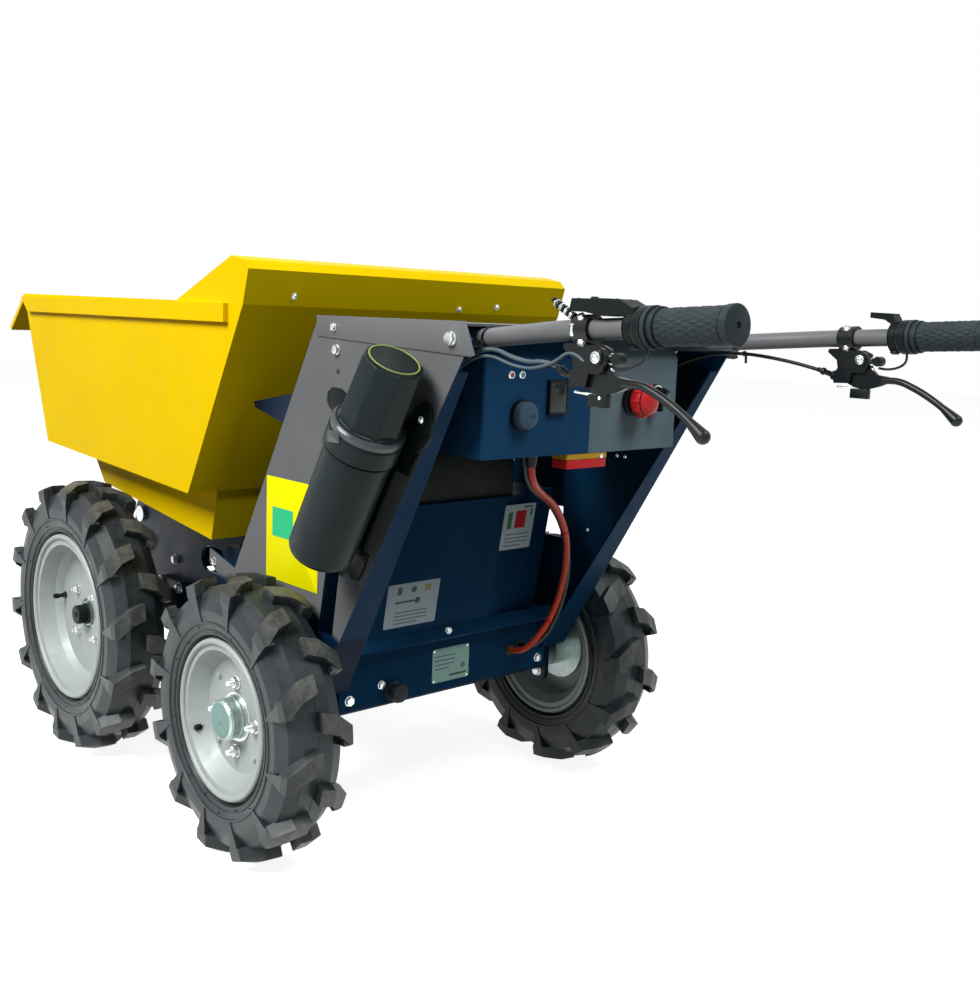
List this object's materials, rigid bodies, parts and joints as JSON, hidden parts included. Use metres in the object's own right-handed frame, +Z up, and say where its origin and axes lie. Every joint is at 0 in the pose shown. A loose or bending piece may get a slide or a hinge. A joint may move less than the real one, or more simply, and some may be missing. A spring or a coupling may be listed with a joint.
{
  "type": "walk-behind site dumper",
  "caption": "Electric walk-behind site dumper with a front-tipping steel skip, lugged tyres, a rear control tower and two handlebars.",
  "frame": {"origin": "on the ground, under the middle of the machine", "axes": "+X forward towards the skip, +Y to the left of the operator, +Z up"},
  "size_m": [1.6383, 0.726, 0.8359],
  "materials": {
    "skip_yellow": "gloss",
    "tower_grey": "satin",
    "frame_blue": "satin",
    "rim_silver": "satin",
    "tyre": "matte",
    "hub_steel": "satin",
    "rubber": "matte",
    "black_plastic": "matte",
    "black_metal": "satin",
    "drive_metal": "matte",
    "control_plastic": "gloss",
    "conduit_orange": "satin"
  },
  "bodies": {
    "chassis": {"axle_saddles": "frame_blue", "bar_clamps": "frame_blue", "bar_controls": "black_plastic", "battery_box": "frame_blue", "brake_cables": "rubber", "brake_levers": "black_metal", "brake_perches": "black_metal", "canister_body": "black_plastic", "canister_bracket": "black_plastic", "canister_cap": "black_plastic", "chassis_rail_left": "frame_blue", "chassis_rail_right": "frame_blue", "crossmembers": "frame_blue", "dash_box": "frame_blue", "drive_motor": "drive_metal", "frame_brackets": "frame_blue", "front_axle": "drive_metal", "grips": "rubber", "handlebar_left": "tower_grey", "handlebar_right": "tower_grey", "hinge_pins": "hub_steel", "panel_controls": "control_plastic", "power_conduit": "conduit_orange", "rear_axle": "frame_blue", "rest_buffers": "rubber", "side_plate_left": "tower_grey", "side_plate_right": "tower_grey", "signal_cable": "rubber", "skip_stays": "frame_blue", "skirt": "frame_blue", "top_cover": "tower_grey", "tower_floor": "frame_blue"},
    "skip": {"hinge_gussets": "skip_yellow", "skip_belly_sides": "skip_yellow", "skip_floor": "skip_yellow", "skip_front_panel": "skip_yellow", "skip_rear_panel": "skip_yellow", "skip_shelves": "skip_yellow", "skip_side_left": "skip_yellow", "skip_side_right": "skip_yellow"},
    "wheel_front_left": {"hub_front_left": "hub_steel", "rim_front_left": "rim_silver", "tyre_front_left": "tyre"},
    "wheel_front_right": {"hub_front_right": "hub_steel", "rim_front_right": "rim_silver", "tyre_front_right": "tyre"},
    "wheel_rear_left": {"hub_rear_left": "hub_steel", "rim_rear_left": "rim_silver", "tyre_rear_left": "tyre"},
    "wheel_rear_right": {"hub_rear_right": "hub_steel", "rim_rear_right": "rim_silver", "tyre_rear_right": "tyre"}
  },
  "joints": [
    {"name": "skip_tip", "type": "hinge", "parent": "chassis", "child": "skip", "pos_m": [0.6, 0, 0.372], "axis": [0, 1, 0], "range_deg": [0, 95]},
    {"name": "front_left_wheel_spin", "type": "hinge", "parent": "chassis", "child": "wheel_front_left", "pos_m": [0.461, 0.312, 0.231], "axis": [0, 1, 0], "continuous": true},
    {"name": "front_right_wheel_spin", "type": "hinge", "parent": "chassis", "child": "wheel_front_right", "pos_m": [0.461, -0.312, 0.231], "axis": [0, 1, 0], "continuous": true},
    {"name": "rear_left_wheel_spin", "type": "hinge", "parent": "chassis", "child": "wheel_rear_left", "pos_m": [-0.07, 0.312, 0.2], "axis": [0, 1, 0], "continuous": true},
    {"name": "rear_right_wheel_spin", "type": "hinge", "parent": "chassis", "child": "wheel_rear_right", "pos_m": [-0.07, -0.312, 0.2], "axis": [0, 1, 0], "continuous": true}
  ]
}
